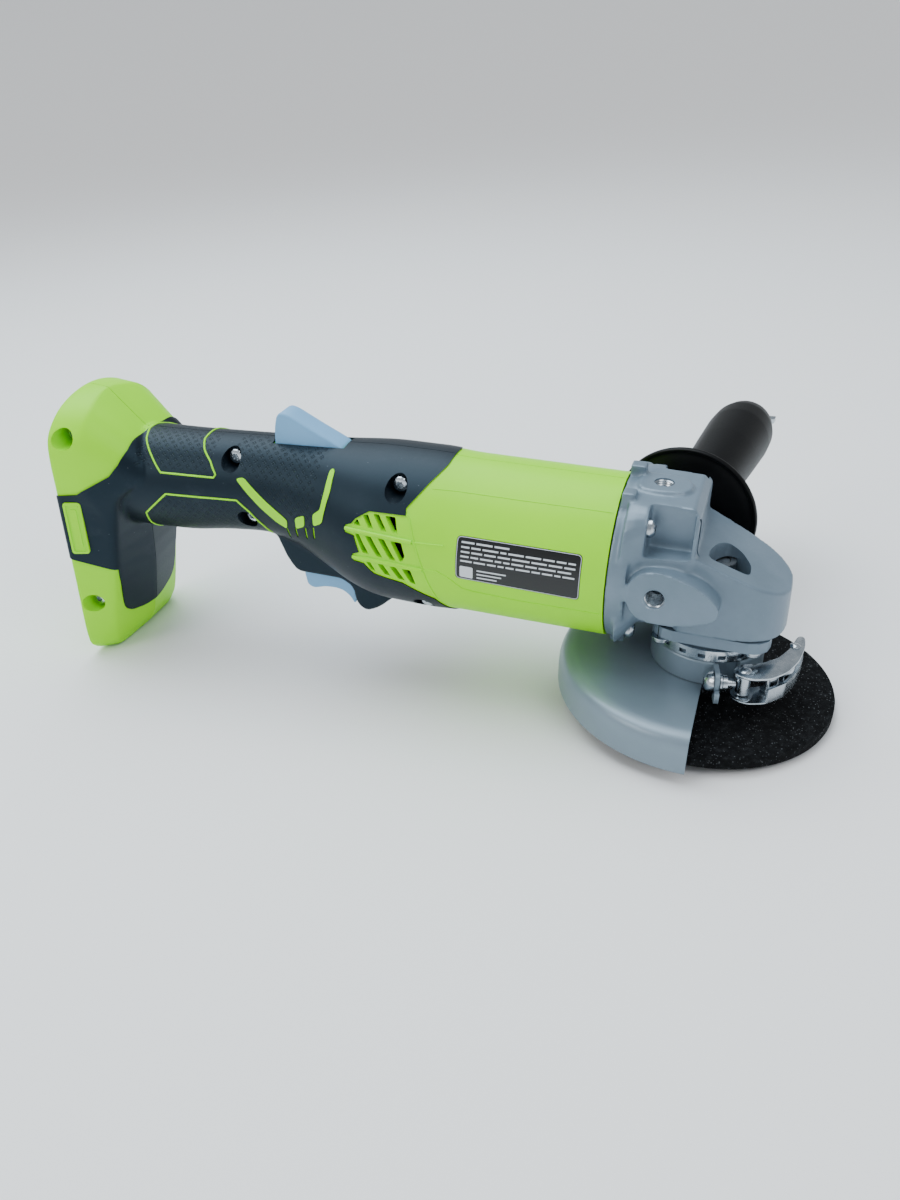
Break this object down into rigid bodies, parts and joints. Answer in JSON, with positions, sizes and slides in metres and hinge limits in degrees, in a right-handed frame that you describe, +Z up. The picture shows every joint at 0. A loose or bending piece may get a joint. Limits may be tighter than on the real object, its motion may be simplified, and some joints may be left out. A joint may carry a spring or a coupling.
{
  "type": "angle grinder",
  "caption": "Battery angle grinder with adjustable wheel guard, quick clamp lever, side handle with stored spanner, trigger and lock-off lever, over a motor and bevel gear drive.",
  "frame": {"origin": "centre of the bounding box, at the height of the floor the tool stands on", "axes": "+X along the tool from the battery foot to the gear head's nose, +Y to the side handle, +Z up; the tool's own axes are pitched nose down by 4.0 degrees about Y"},
  "size_m": [0.366, 0.2454, 0.1354],
  "materials": {
    "lime_plastic": "satin moulded lime-green plastic",
    "dark_rubber": "dark blue-black soft overmould, fine dimples",
    "trigger_plastic": "satin pale blue-grey plastic",
    "cast_alloy": "satin cast metal, silver-grey",
    "guard_steel": "satin silver-grey coated sheet",
    "zinc_steel": "bright zinc plating",
    "steel": "machined steel",
    "black_plastic": "near-black satin plastic",
    "abrasive": "rough black resin-bonded grit with bright flecks",
    "copper": "copper",
    "brass": "bare brass",
    "carbon": "matt carbon",
    "magnet": "dull ferrite"
  },
  "bodies": {
    "housing": {"housing_right": "lime_plastic", "housing_left": "lime_plastic", "grip_right": "dark_rubber", "grip_left": "dark_rubber", "housing_screw_1": "zinc_steel", "housing_screw_2": "zinc_steel", "housing_screw_3": "zinc_steel", "housing_screw_4": "zinc_steel", "housing_screw_5": "zinc_steel", "housing_screw_6": "zinc_steel", "terminal_block": "black_plastic", "terminal_blade_positive": "brass", "terminal_blade_negative": "brass", "switch_body": "black_plastic", "trigger_spring": "steel", "lock_off_pin": "steel", "lock_off_spring": "steel", "motor_can": "zinc_steel", "magnet_upper": "magnet", "magnet_lower": "magnet", "end_bell": "black_plastic", "carbon_brush_right": "carbon", "carbon_brush_left": "carbon", "motor_bearing_rear": "steel", "motor_bearing_front": "steel", "gear_case": "cast_alloy", "spindle_bearing_top": "steel", "spindle_bearing_lower": "steel", "bearing_cover": "cast_alloy", "cover_screw_1": "zinc_steel", "cover_screw_2": "zinc_steel", "cover_screw_3": "zinc_steel", "cover_screw_4": "zinc_steel", "index_ring": "zinc_steel", "side_handle": "black_plastic", "handle_stud": "zinc_steel"},
    "spindle": {"spindle": "steel", "ring_gear": "steel", "gear_spacer": "steel", "inner_flange": "zinc_steel", "grinding_wheel": "abrasive", "wheel_nut": "zinc_steel"},
    "armature": {"armature_shaft": "steel", "armature_core": "steel", "commutator": "copper", "winding_rear": "copper", "winding_front": "copper", "cooling_fan": "black_plastic", "pinion": "steel"},
    "guard": {"guard": "guard_steel", "guard_collar": "guard_steel", "clamp_bolt": "zinc_steel", "lever_pin": "zinc_steel"},
    "clamp_lever": {"clamp_lever": "zinc_steel"},
    "trigger": {"trigger": "trigger_plastic", "switch_plunger": "black_plastic"},
    "lock_off_lever": {"lock_off_lever": "trigger_plastic"},
    "lock_button": {"lock_button": "black_plastic"},
    "pin_spanner": {"pin_spanner": "zinc_steel"}
  },
  "joints": [
    {"name": "spindle_spin", "type": "hinge", "parent": "housing", "child": "spindle", "pos_m": [0.12959, -0.05766, 0.06588], "axis": [0.0702, 0, 0.9975], "continuous": true},
    {"name": "armature_spin", "type": "hinge", "parent": "housing", "child": "armature", "pos_m": [0.03981, -0.05766, 0.0722], "axis": [0.9975, 0, -0.0702], "continuous": true},
    {"name": "guard_turn", "type": "hinge", "parent": "housing", "child": "guard", "pos_m": [0.12657, -0.05766, 0.02299], "axis": [0.0702, 0, 0.9975], "range_deg": [-45, 90]},
    {"name": "clamp_lever_open", "type": "hinge", "parent": "guard", "child": "clamp_lever", "pos_m": [0.14451, -0.08456, 0.02724], "axis": [0.0702, 0, 0.9975], "range_deg": [-95, 0]},
    {"name": "trigger_pull", "type": "slide", "parent": "housing", "child": "trigger", "axis": [0.0702, 0, 0.9975], "range_m": [0, 0.005], "stiffness_N_per_m": 900, "springref_m": -0.003, "deforming": ["trigger_spring"]},
    {"name": "lock_off_tip", "type": "hinge", "parent": "housing", "child": "lock_off_lever", "pos_m": [-0.04199, -0.05766, 0.10653], "axis": [0, -1, 0], "range_deg": [0, 8], "stiffness_Nm_per_rad": 0.3, "springref_deg": -11.46, "deforming": ["lock_off_spring"]},
    {"name": "lock_button_press", "type": "slide", "parent": "housing", "child": "lock_button", "axis": [0, -1, 0], "range_m": [0, 0.003], "stiffness_N_per_m": 600, "springref_m": -0.003},
    {"name": "pin_spanner_slide", "type": "slide", "parent": "housing", "child": "pin_spanner", "axis": [0.15, 0.9885, 0.0192], "range_m": [0, 0.07]}
  ],
  "couplings": [
    {"joint": "armature_spin", "follows": "spindle_spin", "ratio": -3.4545}
  ]
}
